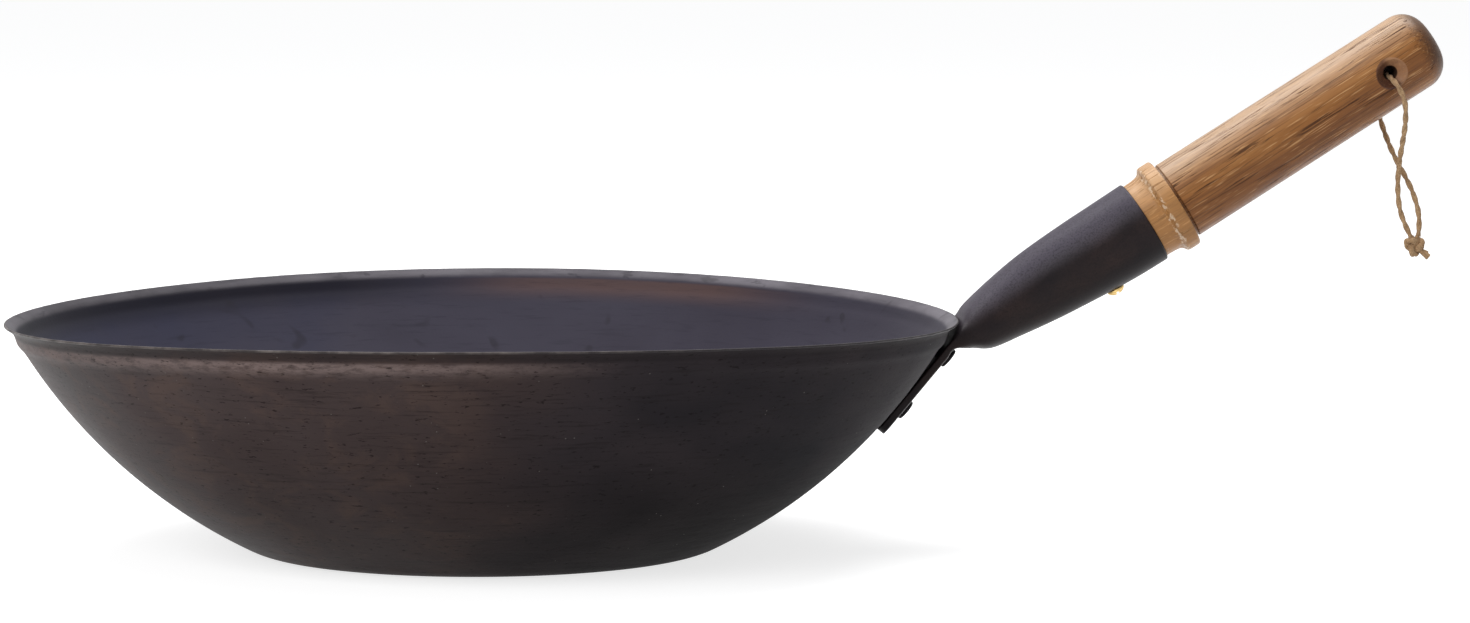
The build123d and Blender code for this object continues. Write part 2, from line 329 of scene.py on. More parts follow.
# Meshes
def mesh_object(name, points, faces, sharp_angle=crease):
    """A smooth-shaded mesh whose edges above the sharp angle stay crisp."""
    mesh = bpy.data.meshes.new(name)
    mesh.from_pydata([tuple(p) for p in points], [], faces)
    shaped = bmesh.new()
    shaped.from_mesh(mesh)
    bmesh.ops.recalc_face_normals(shaped, faces=shaped.faces)
    smooth(shaped, sharp_angle)
    shaped.to_mesh(mesh)
    shaped.free()
    thing = bpy.data.objects.new(name, mesh)
    bpy.context.scene.collection.objects.link(thing)
    return thing


def smooth(shaped, sharp_angle):
    for face in shaped.faces:
        face.smooth = True
    for edge in shaped.edges:
        edge.smooth = edge.calc_face_angle(0) < sharp_angle


def join(name, things):
    """One object that holds the meshes of several."""
    whole = bmesh.new()
    for thing in things:
        whole.from_mesh(thing.data)
    mesh = bpy.data.meshes.new(name)
    whole.to_mesh(mesh)
    whole.free()
    for thing in things:
        bpy.data.meshes.remove(thing.data)
    joined = bpy.data.objects.new(name, mesh)
    bpy.context.scene.collection.objects.link(joined)
    return joined


def skin(rings, closed_ends=True):
    """Points and faces of a tube through rings of as many points each."""
    count = len(rings[0])
    points = [p for ring in rings for p in ring]
    faces = []
    for row in range(len(rings) - 1):
        low, high = row * count, (row + 1) * count
        for i in range(count):
            j = (i + 1) % count
            faces.append((low + i, low + j, high + j, high + i))
    if closed_ends:
        for row, order in ((0, -1), (len(rings) - 1, 1)):
            faces.append(tuple(row * count + i for i in range(count))[::order])
    return points, faces


def arc(centre, radius, start, end, steps):
    """Points (across, up) of an arc whose angles are measured from straight down."""
    angles = [start + (end - start) * i / steps for i in range(steps + 1)]
    return [(centre[0] + radius * sin(a), centre[1] - radius * cos(a)) for a in angles]


def rounded(outline, steps=4):
    """Points of an outline of corners (along, radius, round), each corner rounded off."""
    made = [outline[0][:2]]
    for before, corner, after in zip(outline, outline[1:], outline[2:]):
        a, b, c = Vector(before[:2]), Vector(corner[:2]), Vector(after[:2])
        to_a, to_c = (a - b).normalized(), (c - b).normalized()
        reach = min(corner[2], (a - b).length * 0.45, (c - b).length * 0.45)
        for i in range(steps + 1 if reach else 1):
            t = i / steps
            made.append(tuple(b + to_a * reach * (1 - t) ** 2 + to_c * reach * t**2))
    made.append(outline[-1][:2])
    return made


def turned_rings(profile, centre, axis, side, other_side):
    """Rings round an axis through the (along, radius) points of a profile."""
    turns = [tau * i / turned_segments for i in range(turned_segments)]
    return [
        [centre + axis * along + (side * cos(a) + other_side * sin(a)) * radius for a in turns]
        for along, radius in profile
    ]


def fade(value, low, high):
    """0 below low, 1 above high and a smooth step between."""
    t = min(1.0, max(0.0, (value - low) / (high - low)))
    return t * t * (3 - 2 * t)


# Camera
def make_camera():
    data = bpy.data.cameras.new("camera")
    data.sensor_width = camera_sensor
    data.lens = camera_lens
    eye = bpy.data.objects.new("camera", data)
    eye.location = Matrix.Rotation(-camera_turn, 3, "Z") @ Vector(camera_place)
    eye.rotation_euler = (pi / 2 - camera_pitch, 0, -camera_turn)
    bpy.context.scene.collection.objects.link(eye)
    bpy.context.scene.camera = eye


# Twine
def spline_points(points):
    """Points along the smooth line that a NURBS spline draws from a route's points."""
    data = bpy.data.curves.new("route", "CURVE")
    data.dimensions = "3D"
    data.resolution_u = 24
    spline = data.splines.new("NURBS")
    spline.points.add(len(points) - 1)
    for control, point in zip(spline.points, points):
        control.co = (*point, 1)
    spline.order_u = 3
    spline.use_endpoint_u = True
    route = bpy.data.objects.new("route", data)
    mesh = bpy.data.meshes.new_from_object(route)
    line = [v.co.copy() for v in mesh.vertices]
    bpy.data.meshes.remove(mesh)
    bpy.data.curves.remove(data)
    return line


def evenly(line):
    """The line again, in steps of about the same length."""
    along = [0.0]
    for a, b in zip(line, line[1:]):
        along.append(along[-1] + (b - a).length)
    count = max(2, round(along[-1] / twine_step))
    made, k = [], 0
    for i in range(count + 1):
        at = along[-1] * i / count
        while k < len(line) - 2 and along[k + 1] < at:
            k += 1
        span = max(along[k + 1] - along[k], 1e-9)
        made.append(line[k].lerp(line[k + 1], min(1.0, (at - along[k]) / span)))
    return made


def carried_frames(line):
    """Two directions square to the line at each point, turned as little as can be."""
    last = len(line) - 1
    frames = []
    side = None
    for i in range(len(line)):
        direction = (line[min(i + 1, last)] - line[max(i - 1, 0)]).normalized()
        side = side or direction.orthogonal().normalized()
        side = (side - direction * side.dot(direction)).normalized()
        frames.append((side.copy(), direction.cross(side)))
    return frames


def ply_rings(line, phase, plies, seed):
    """Rings of one ply, wound round the line and slightly uneven."""
    radius, offset, turn = plies
    sides = [tau * k / ply_sides for k in range(ply_sides)]
    rings = []
    travelled = 0.0
    for i, (point, (side, up)) in enumerate(zip(line, carried_frames(line))):
        if i:
            travelled += (point - line[i - 1]).length
        angle = phase + tau * travelled / turn
        centre = point + (side * cos(angle) + up * sin(angle)) * offset
        swell = noise.noise(Vector((travelled * ply_swells_per_metre, seed, phase)))
        thick = radius * (1 + ply_swell * swell)
        ring = []
        for a in sides:
            across, rise = ply_roughs_round * cos(a), ply_roughs_round * sin(a) + seed
            rough = noise.noise(Vector((travelled * ply_roughs_per_metre, across, rise)))
            out = side * cos(a + angle) + up * sin(a + angle)
            ring.append(centre + out * thick * (1 + ply_rough * rough))
        rings.append(ring)
    return rings


def fibre_rings(start, out, along, length, rng):
    """Rings of one loose fibre that leaves the twine and curls back along it."""
    bend = Vector([rng.uniform(-1, 1) for _ in range(3)])
    rings = []
    for i in range(fibre_steps + 1):
        t = i / fibre_steps
        point = start + along * length * t
        point += out * length * fibre_rise_share * t * (fibre_fall_share - t)
        point += bend * length * fibre_wander_share * t * t
        thick = fibre_radius * (1 - fibre_thins_share * t)
        rings.append([point + out.cross(along) * thick, point + out * thick, point - along * thick])
    return rings


def twine(name, line, fibres, seed, plies):
    """Two plies twisted round a line, with loose fibres standing off them."""
    wound = [ply_rings(line, phase, plies, seed) for phase in (0, pi)]
    rng = random.Random(seed)
    groups = list(wound)
    for _ in range(fibres):
        ply = rng.choice(wound)
        i = rng.randrange(2, len(ply) - 2)
        ring = ply[i]
        start = rng.choice(ring)
        middle = sum(ring, Vector()) / len(ring)
        along = (line[i + 1] - line[i]).normalized() * rng.choice((-1, 1))
        out = (start - middle).normalized()
        groups.append(fibre_rings(start, out, along, rng.uniform(*fibre_lengths), rng))
    points, faces = [], []
    for rings in groups:
        more, more_faces = skin(rings)
        faces += [tuple(i + len(points) for i in face) for face in more_faces]
        points += more
    return mesh_object(name, points, faces, twine_crease)


def make_leg(name, exit_side, route, seed):
    """One leg of the hanging loop, from inside the cross hole to the knot."""
    start_point = pivot + hole_line * exit_side * exit_reach
    line = evenly(spline_points([pivot, start_point, *(pivot + Vector(p) for p in route)]))
    leg = twine(name, line, leg_fibres, seed, leg_plies)
    leg.data.materials.append(jute())
    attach(leg, "hanging_loop")
    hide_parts("twine_loop")
    return leg, start_point, line


def knot_turns(centre):
    """The line of an overhand knot pulled tight."""
    line = []
    for i in range(knot_steps + 1):
        t = tau * i / knot_steps
        across = (sin(t) + 2 * sin(2 * t)) / 3 * knot_across
        rise = (cos(t) - 2 * cos(2 * t)) / 3 * knot_height
        line.append(centre + Vector((across, -sin(3 * t) * knot_depth / 2, rise)))
    return line


def make_knot():
    """The knot, with its two cut tails and the legs' ends that run into it."""
    centre = pivot + knot_place
    turns = evenly(knot_turns(centre))
    pieces = [twine("knot_turns", turns, knot_fibres, knot_seed, knot_plies)]
    strands = [(centre, centre + tail) for tail in knot_tails]
    strands += [(pivot + Vector(route[-1]), centre) for route in (front_route, back_route)]
    for k, (start, end) in enumerate(strands):
        line = evenly([start.lerp(end, i / strand_steps) for i in range(strand_steps + 1)])
        name, seed = f"knot_strand_{k}", strand_seed + k
        pieces.append(twine(name, line, strand_fibres, seed, strand_plies))
    knot = join("knot_tied", pieces)
    knot.data.materials.append(jute())
    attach(knot, "hanging_loop")
    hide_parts("twine_knot")
    return knot


# Bowl
def wall_profile(inset):
    """The bowl's half outline, this far inside the outer face, from the middle to the lip."""
    middle = (0, bowl_centre.z)
    wall = bowl_radius - inset
    fine_angle = wall_angle - fine_stretch / bowl_radius
    points = [(flat_radius * i / flat_steps, inset) for i in range(flat_steps + 1)]
    points += arc((flat_radius, base_round), base_round - inset, 0, round_angle, round_steps)[1:]
    points += arc(middle, wall, round_angle, fine_angle, wall_steps)[1:]
    for across, up in arc(middle, wall, fine_angle, wall_angle, fine_steps)[1:]:
        angle = atan2(across, bowl_centre.z - up)
        below = (wall_angle - angle) * bowl_radius
        out = bulge_out * exp(-(((below - bulge_below_lip) / bulge_spread) ** 2))
        out *= bulge_inside_share if inset else 1
        points.append((across + out * sin(angle), up - out * cos(angle)))
    return points + lip_profile(inset)


def lip_profile(inset):
    """The rest of that outline: the bend and the lip, where the sheet gets thinner."""
    thinned = (bowl_sheet - lip_edge_sheet) / 2 * (-1 if inset else 1)
    points = []
    for i in range(1, bend_steps + 1):
        t = i / bend_steps
        angle = wall_angle + (lip_slope - wall_angle) * t
        bend = lip_bend + inset + thinned * bend_thins_share * t
        points.append((bend_across - bend * sin(angle), bend_up + bend * cos(angle)))
    start = Vector(points[-1])
    line = Vector((cos(lip_slope), sin(lip_slope)))
    run = line * (lip_run - lip_edge_sheet / 2)
    run += line.orthogonal() * thinned * (1 - bend_thins_share)
    points += [tuple(start + run * i / run_steps) for i in range(1, run_steps + 1)]
    return points


def lip_edge(outer, inner):
    """The round edge of the sheet between its two faces at the rim."""
    half = (Vector(outer[-1]) - Vector(inner[-1])).length / 2
    tip = (Vector(outer[-1]) + Vector(inner[-1])) / 2
    along = Vector((cos(lip_slope), sin(lip_slope)))
    down = Vector((sin(lip_slope), -cos(lip_slope)))
    turns = [pi / 2 - pi * i / edge_steps for i in range(1, edge_steps)]
    return [tuple(tip + (along * cos(a) + down * sin(a)) * half) for a in turns]


def above_crease(profile):
    """Distance along a bowl outline from the crease where the wall meets the lip."""
    along = [0.0]
    for a, b in zip(profile, profile[1:]):
        along.append(along[-1] + (Vector(b) - Vector(a)).length)
    crease = along[-1 - bend_steps - run_steps]
    return [a - crease for a in along]


def bowl_point(across, up, angle):
    """A point of the bowl: the front and back of its rim stand higher than its sides."""
    place = Vector((across * cos(angle), across * sin(angle), up))
    level = Vector((place.x, place.y, 0))
    lift = saddle_rise * sin(angle + camera_turn) ** 2 * fade(up, saddle_start, rim_height)
    waver = wall_waver * noise.noise(place / wall_waver_length)
    waver *= fade(up, wall_waver_start, wall_waver_full)
    edge = edge_waver * noise.noise(level * edge_wavers_per_metre)
    edge *= fade(across, rim_radius - edge_waver_width, rim_radius)
    out = (place - bowl_centre).normalized()
    return place + out * waver + Vector((0, 0, lift + edge))


def make_bowl():
    """The bowl's sheet, closed all round, with each point's height along it for the paint."""
    outer = wall_profile(0)
    inner = wall_profile(bowl_sheet)
    edge = lip_edge(outer, inner)
    turns = [tau * i / bowl_segments for i in range(bowl_segments)]
    profile = outer[1:] + edge + inner[:0:-1]
    rings = [[bowl_point(across, up, turn) for turn in turns] for across, up in profile]
    points, faces = skin(rings, closed_ends=False)
    last_ring = (len(rings) - 1) * bowl_segments
    for start, height in ((0, 0.0), (last_ring, bowl_sheet)):
        points.append(Vector((0, 0, height)))
        for i in range(bowl_segments):
            faces.append((start + i, start + (i + 1) % bowl_segments, len(points) - 1))
    bowl = mesh_object("bowl_steel", points, faces)

    outer_heights, inner_heights = above_crease(outer), above_crease(inner)
    edge_height = lip_run + lip_bend * (wall_angle - lip_slope)
    heights = outer_heights[1:] + [edge_height] * len(edge) + inner_heights[:0:-1]
    by_point = [height for height in heights for _ in turns] + [outer_heights[0], inner_heights[0]]
    bowl.data.attributes.new("lip_height", "FLOAT", "POINT").data.foreach_set("value", by_point)

    for slot in (outside_steel(), inside_steel(), edge_steel()):
        bowl.data.materials.append(slot)
    outside_faces = (len(outer) - 2) * bowl_segments
    edge_faces = (len(edge) + 1) * bowl_segments
    for face in bowl.data.polygons:
        underside = len(face.vertices) == 3 and face.center.z < bowl_sheet / 2
        if face.index < outside_faces or underside:
            face.material_index = 0
        elif face.index < outside_faces + edge_faces:
            face.material_index = 2
        else:
            face.material_index = 1
    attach(bowl, "wok")
    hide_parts("wok_bowl")


# Handle socket, in sections of crest, foot, half width, squareness and hug of the wall
def on_tongue(along, width):
    """A section of the flat tongue, which follows the wall's curve."""
    near = tongue_foot + tongue_line * along + wall_normal * tongue_gap
    return near, near + wall_normal * tongue_thickness, width / 2, tongue_squareness, 1.0


def at_lip(crest, foot, width, square):
    crest, foot = (rim_edge + Vector((beyond, 0, above)) for beyond, above in (crest, foot))
    return crest, foot, width / 2, square, 0.0


def on_tube(distance, top, bottom, width, square):
    """A section square to the handle, this far before the socket's mouth."""
    place = mouth - handle_line * distance
    return place + handle_rise * top, place - handle_rise * bottom, width / 2, square, 0.0


def tongue_sections():
    """The tongue from its rounded end to just below its root."""
    widen = (tongue_root_width - tongue_end_width) / (tongue_below + tongue_above)
    sections = []
    for i in range(corner_steps + 1):
        along = tongue_corner * (i / corner_steps) ** 2
        shy = tongue_corner - sqrt(tongue_corner**2 - (tongue_corner - along) ** 2)
        width = tongue_end_width + widen * along - 2 * shy
        sections.append(on_tongue(along - tongue_below, width))
    for along in tongue_stations:
        sections.append(on_tongue(along, tongue_end_width + widen * (along + tongue_below)))
    return sections


def between(before, a, b, after, t):
    """A Catmull-Rom step from section a to section b."""
    def blend(p, q, r, s):
        bent = (2 * p - 5 * q + 4 * r - s) * t**2 + (3 * q - p - 3 * r + s) * t**3
        return 0.5 * (2 * q + (r - p) * t + bent)

    return tuple(blend(p, q, r, s) for p, q, r, s in zip(before, a, b, after))


def section_ring(section, shrink=0.0):
    """The ring of a section, smaller all round by the shrink."""
    crest, foot, half_width, square, hug = section
    place = (crest + foot) / 2
    up = (crest - foot).normalized()
    half_height = (crest - foot).length / 2
    ring = []
    for i in range(socket_segments):
        angle = tau * i / socket_segments
        c, s = cos(angle), sin(angle)
        across = (half_width - shrink) * copysign(abs(c) ** (2 / square), c)
        rise = (half_height - shrink) * copysign(abs(s) ** (2 / square), s)
        rise += hug * across**2 / (2 * bowl_radius)
        ring.append(place + sideways * across + up * rise)
    return ring


def make_socket():
    """The socket in one shell: tongue, tube, the mouth's rounded edge and the hollow."""
    sections = tongue_sections()
    tube = [on_tongue(tongue_above, tongue_root_width)]
    tube += [at_lip(*section) for section in lip_sections]
    tube += [on_tube(*section) for section in tube_sections]
    knots = [sections[-1], *tube]
    for k in range(len(knots) - 1):
        before = knots[max(0, k - 1)]
        after = knots[min(len(knots) - 1, k + 2)]
        for i in range(1, socket_steps + 1):
            sections.append(between(before, knots[k], knots[k + 1], after, i / socket_steps))
    outer = [section_ring(s) for s in sections]
    back = handle_line * socket_edge_round
    edge = []
    for i in range(1, socket_edge_steps + 1):
        t = i / socket_edge_steps * pi / 2
        ring = section_ring(sections[-1], socket_edge_round * (1 - cos(t)))
        edge.append([p - back * (1 - sin(t)) for p in ring])
    outer[-1] = [p - back for p in outer[-1]]
    hollow = [s for s in sections if (s[0] - s[1]).length > hollow_height]
    inner = [section_ring(s, socket_wall) for s in reversed(hollow)]
    points, faces = skin([*outer, *edge, *inner])
    socket = mesh_object("socket_shell", points, faces, socket_crease)
    socket.data.materials.append(socket_steel())
    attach(socket, "wok")
    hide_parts("handle_socket")


# Rivets
def make_rivet(node, place):
    """A rivet: a low disc outside the tongue, its shank and a flatter head inside the bowl."""
    foot = tongue_foot + tongue_line * place
    outside = tongue_gap + tongue_thickness
    inside = rivet_sink - bowl_sheet
    outline = (
        (inside - rivet_inside_height, rivet_middle_radius, 0.0),
        (inside - rivet_inside_height, rivet_inside_radius, rivet_inside_round),
        (inside, rivet_inside_radius, 0.0),
        (inside, rivet_radius, 0.0),
        (outside - rivet_sink, rivet_radius, 0.0),
        (outside - rivet_sink, rivet_head_radius, 0.0),
        (outside + rivet_head_height, rivet_head_radius, rivet_head_round),
        (outside + rivet_head_height, rivet_middle_radius, 0.0),
    )
    rings = turned_rings(rounded(outline, 8), foot, wall_normal, tongue_line, sideways)
    points, faces = skin(rings)
    rivet = mesh_object(f"{node}_head", points, faces)
    rivet.data.materials.append(rivet_steel())
    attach(rivet, "wok")
    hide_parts(node)


# Wooden handle
def handle_profile():
    """The turned outline: distance along the handle and radius."""
    outline = (
        (-spigot_length, spigot_tip_radius, 0.0),
        (-spigot_length, spigot_end_radius, spigot_end_round),
        (0.0, spigot_mouth_radius, 0.0),
        (0.0, neck_radius, neck_edge_round),
        (ring_start * neck_swell_share, neck_radius + neck_swell, neck_swell_round),
        (ring_start, ring_root_radius, ring_root_round),
        (ring_shoulder, ring_radius, ring_shoulder_round),
        (ring_end, ring_radius, ring_end_round),
        (ring_end + groove_draft, groove_radius, groove_ring_round),
        (ring_end + groove_width * groove_floor_share, groove_radius, groove_grip_round),
        (ring_end + groove_width, grip_radius + grip_taper / 2, 0.0),
    )
    points = rounded(outline)
    start, end = points[-1][0], handle_length - grip_end_round
    for i in range(1, grip_steps + 1):
        t = i / grip_steps
        points.append((start + (end - start) * t, grip_radius + grip_taper * (0.5 - t)))
    middle = grip_radius - grip_taper / 2 - grip_end_round
    for i in range(1, grip_end_steps + 1):
        a = pi / 2 * i / grip_end_steps
        points.append((end + grip_end_round * sin(a), middle + grip_end_round * cos(a)))
    points.append((handle_length, grip_end_middle))
    return points


def turned_radius(along, radius, angle):
    """The turned surface with its torn fillet beside the ring."""
    torn = fade(along, ring_start - torn_before, ring_start)
    torn *= 1 - fade(along, ring_shoulder - torn_fades_from, ring_shoulder + torn_fades_to)
    place = Vector((along * torn_lengthwise, torn_round * cos(angle), torn_round * sin(angle)))
    coarse = noise.noise(place) * torn_depth
    fine = noise.noise(place * torn_fine_scale) * torn_fine_depth
    return radius + torn * (coarse + fine)


def make_grip():
    turns = [tau * i / handle_segments for i in range(handle_segments)]
    outward = [sideways * cos(turn) + handle_rise * sin(turn) for turn in turns]
    rings = []
    for along, radius in handle_profile():
        place = mouth + handle_line * along
        radii = [turned_radius(along, radius, turn) for turn in turns]
        rings.append([place + out * r for out, r in zip(outward, radii)])
    points, faces = skin(rings)
    grip = mesh_object("grip_oak", points, faces)
    drill(grip, make_hole_cutter(), grip_crease)
    grip.data.materials.clear()
    grip.data.materials.append(oak())
    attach(grip, "wok")
    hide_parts("wooden_handle")


def make_hole_cutter():
    """A shaft and two countersinks along the cross hole."""
    reach = grip_radius + cutter_overrun
    sink = sink_radius - hole_radius
    wide = hole_radius + sink + cutter_overrun
    floor = grip_radius - sink
    profile = ((-reach, wide), (-floor, hole_radius), (floor, hole_radius), (reach, wide))
    side = hole_line.cross(handle_line)
    points, faces = skin(turned_rings(profile, hole_centre, hole_line, handle_line, side))
    return mesh_object("hole_cutter", points, faces)


def drill(thing, cutter, sharp_angle):
    """Takes the cutter's shape out of a thing's mesh, and the cutter away."""
    cut = thing.modifiers.new("hole", "BOOLEAN")
    cut.operation = "DIFFERENCE"
    cut.solver = "EXACT"
    cut.object = cutter
    bpy.context.view_layer.update()
    drilled = thing.evaluated_get(bpy.context.evaluated_depsgraph_get())
    shape = bpy.data.meshes.new_from_object(drilled)
    thing.modifiers.clear()
    thing.data = shape
    bpy.data.objects.remove(cutter)
    shaped = bmesh.new()
    shaped.from_mesh(shape)
    smooth(shaped, sharp_angle)
    shaped.to_mesh(shape)
    shaped.free()


# Materials
class Shader:
    """A material whose nodes are added one call at a time."""

    def __init__(self, name):
        self.material = bpy.data.materials.new(name)
        self.material.use_nodes = True
        self.tree = self.material.node_tree
        self.tree.nodes.clear()

    def add(self, kind, inputs=None, **settings):
        node = self.tree.nodes.new(kind)
        for key, value in settings.items():
            setattr(node, key, value)
        for key, value in (inputs or {}).items():
            if isinstance(value, bpy.types.NodeSocket):
                self.tree.links.new(value, node.inputs[key])
            else:
                node.inputs[key].default_value = value
        return node

    def math(self, operation, *values):
        return self.add("ShaderNodeMath", dict(enumerate(values)), operation=operation).outputs[0]

    def times(self, first, *others):
        for other in others:
            first = self.math("MULTIPLY", first, other)
        return first

    def axis(self, vector, index):
        """One coordinate of a vector."""
        return self.add("ShaderNodeSeparateXYZ", {0: vector}).outputs[index]

    def vector(self, operation, a, b, output=0):
        return self.add("ShaderNodeVectorMath", {0: a, 1: b}, operation=operation).outputs[output]

    def place(self, scale=(1, 1, 1), turn=0.0, start=(0, 0, 0)):
        """Object coordinates, shifted, turned about Y and scaled."""
        where = self.add("ShaderNodeTexCoord").outputs["Object"]
        inputs = {"Vector": self.vector("SUBTRACT", where, start), "Angle": turn}
        turned = self.add("ShaderNodeVectorRotate", inputs, rotation_type="Y_AXIS").outputs[0]
        return self.vector("MULTIPLY", turned, scale)

    def along_handle(self, lengthwise=1, crosswise=1):
        """Coordinates along, across and above the handle from the socket's mouth, scaled."""
        return self.place((lengthwise, crosswise, crosswise), handle_tilt, tuple(mouth))

    def span(self, value, start, end):
        """0 at the start value, 1 at the end value and a smooth step between."""
        inputs = {"Value": value, "From Min": start, "From Max": end}
        return self.add("ShaderNodeMapRange", inputs, interpolation_type="SMOOTHSTEP").outputs[0]

    def noise(self, where, scale=1.0, detail=4.0, rough=0.55, twist=0.0):
        inputs = {"Vector": where, "Scale": scale}
        inputs.update({"Detail": detail, "Roughness": rough, "Distortion": twist})
        return self.add("ShaderNodeTexNoise", inputs).outputs[0]

    def ramp(self, value, *stops):
        """A colour ramp through (position, colour) stops; a number is a grey."""
        node = self.add("ShaderNodeValToRGB", {"Fac": value})
        steps = node.color_ramp.elements
        while len(steps) < len(stops):
            steps.new(0.5)
        for step, (position, colour) in zip(steps, stops):
            step.position = position
            grey = isinstance(colour, (int, float))
            step.color = (colour, colour, colour, 1) if grey else (*colour, 1)
        return node.outputs[0]

    def mix(self, share, a, b, blend="MIX"):
        def rgba(c):
            return c if isinstance(c, bpy.types.NodeSocket) else (*c, 1)

        inputs = {0: share, 6: rgba(a), 7: rgba(b)}
        return self.add("ShaderNodeMix", inputs, data_type="RGBA", blend_type=blend).outputs[2]

    def paint(self, under, over, mask, strength):
        """One colour over another, as far as a mask and a strength say."""
        return self.mix(self.times(mask, strength), under, over)

    def bump(self, height, strength, distance, under=None):
        inputs = {"Height": height, "Strength": strength, "Distance": distance}
        if under is not None:
            inputs["Normal"] = under
        return self.add("ShaderNodeBump", inputs).outputs[0]

    def finish(self, colour, roughness, normal, **constants):
        inputs = {"Base Color": colour, "Roughness": roughness, "Normal": normal}
        inputs.update({key.replace("_", " "): value for key, value in constants.items()})
        surface = self.add("ShaderNodeBsdfPrincipled", inputs)
        self.add("ShaderNodeOutputMaterial", {"Surface": surface.outputs[0]})
        return self.material


def lip_height(s):
    """Metres above the crease of the lip, along the sheet."""
    return s.add("ShaderNodeAttribute", attribute_name="lip_height").outputs["Fac"]


def from_left(s, across):
    """Across the bowl, from about 0 at its left rim to about 1 at the handle."""
    return s.math("MULTIPLY_ADD", across, 3.0, 0.5)


def outside_steel():
    """Dark seasoned steel, finely streaked, brown to the left and blue-black towards the handle; painted
    light on the left, painted shade low beside the handle and on the lip's underside, and a painted
    highlight band below the lip.
    """
    s = Shader("outside_steel")
    where = s.place()
    across = s.axis(where, 0)
    height = lip_height(s)
    side = s.math("ADD", s.times(across, 2.6), s.noise(s.place((9, 9, 14)), detail=3.0))
    # Partly the steel's own tone and partly painted light and shade: lighter to the left, darker towards
    # the handle.
    colour = s.ramp(
        side,
        (0.04, (0.062, 0.053, 0.053)),
        (0.24, (0.066, 0.049, 0.048)),
        (0.46, (0.052, 0.037, 0.036)),
        (0.68, (0.036, 0.029, 0.032)),
        (0.92, (0.015, 0.014, 0.017)),
    )
    # Painted shade: darker low on the wall beside the handle.
    foot = s.times(s.span(s.axis(where, 2), *foot_shade), s.span(side, 0.45, 0.80))
    colour = s.paint(colour, (0.004, 0.003, 0.003), foot, 0.70)
    blotch = s.noise(s.place((42, 42, 70)), detail=6.0, rough=0.66, twist=0.6)
    blotch = s.times(s.span(blotch, 0.46, 0.66), s.span(side, 0.62, 0.30))
    colour = s.paint(colour, (0.098, 0.064, 0.053), blotch, 0.52)
    brushed = s.noise(s.place((60, 60, 950)), rough=0.7)
    colour = s.paint(colour, (0.012, 0.009, 0.009), s.span(brushed, 0.50, 0.28), 0.45)
    # Painted highlight band just under the lip.
    colour = s.paint(colour, (0.215, 0.162, 0.152), painted_highlight_band(s, across, height), 0.85)
    # Painted shade on the lip's downward outer face.
    colour = s.paint(colour, (0.016, 0.013, 0.014), s.span(height, *lip_underside_shade), 0.45)
    dashes = s.noise(s.place((330, 330, 1150)), detail=3.0, rough=0.6)
    colour = s.paint(colour, (0.006, 0.004, 0.004), s.span(dashes, 0.40, 0.30), 0.72)
    grains = s.add("ShaderNodeTexVoronoi", {"Vector": where, "Scale": 420.0}).outputs["Distance"]
    rare = s.span(s.noise(where, 160.0, 2.0), 0.60, 0.66)
    colour = s.paint(colour, (0.20, 0.18, 0.17), s.times(s.span(grains, 0.13, 0.07), rare), 0.6)
    rough = s.ramp(side, (0.20, 0.44), (0.85, 0.66))
    rough = s.mix(0.25, rough, s.ramp(brushed, (0.3, 0.34), (0.7, 0.66)))
    pits = s.bump(s.noise(where, 900.0, rough=0.6), 0.20, 0.0003)
    normal = s.bump(dashes, 0.25, 0.0002, s.bump(brushed, 0.12, 0.0002, pits))
    return s.finish(colour, rough, normal, IOR=1.36, Specular_IOR_Level=0.06)


def painted_highlight_band(s, across, height):
    """A painted highlight: the wall painted paler just under the lip, least beside the handle."""
    sides = s.ramp(from_left(s, across), (0.0, 0.42), (0.30, 1.0), (0.45, 0.75), (0.62, 0.0))
    patches = s.noise(s.place((190, 190, 640)), detail=5.0, rough=0.7)
    band = s.times(s.span(height, *highlight_band_start), s.span(height, *highlight_band_end))
    return s.times(band, sides, s.span(patches, 0.24, 0.62))


def inside_steel():
    """Blued steel inside the bowl: a grey lip, heat tint at the back and a few oil stains."""
    s = Shader("inside_steel")
    where = s.place()
    across = s.axis(where, 0)
    height = lip_height(s)
    cloud = s.noise(s.place((11, 11, 22)), twist=0.4)
    colour = s.ramp(
        s.math("ADD", s.times(across, 2.0), cloud),
        (0.20, (0.036, 0.036, 0.060)),
        (0.50, (0.048, 0.044, 0.061)),
        (0.80, (0.038, 0.034, 0.048)),
    )
    tinted = s.times(
        s.span(height, *tint_start),
        s.span(height, *tint_end),
        s.span(across, *tint_left),
        s.span(across, *tint_right),
        s.span(s.axis(where, 1), *tint_back),
        s.ramp(cloud, (0.35, 0.55), (0.65, 1.0)),
    )
    colour = s.paint(colour, (0.110, 0.062, 0.050), tinted, 0.75)
    shade = s.times(s.span(height, *shade_start), s.span(across, *shade_right))
    colour = s.paint(colour, (0.009, 0.008, 0.012), shade, 0.82)
    colour = s.mix(s.span(height, *lip_start), colour, lip_colour(s, across))
    spots = s.noise(s.place((52, 52, 70), start=(0.014, 0.0, 0.031)), 1.0, 2.0, 0.5, 0.5)
    colour = s.paint(colour, (0.020, 0.018, 0.022), s.span(spots, 0.63, 0.70), 0.45)
    streaks = s.noise(s.place((70, 70, 900)), rough=0.6)
    colour = s.paint(colour, (0.018, 0.018, 0.026), s.span(streaks, 0.48, 0.30), 0.22)
    rough = s.ramp(cloud, (0.3, 0.38), (0.7, 0.48))
    normal = s.bump(streaks, 0.06, 0.0002, s.bump(s.noise(where, 700.0), 0.12, 0.0003))
    return s.finish(colour, rough, normal, IOR=1.42, Specular_IOR_Level=0.07)


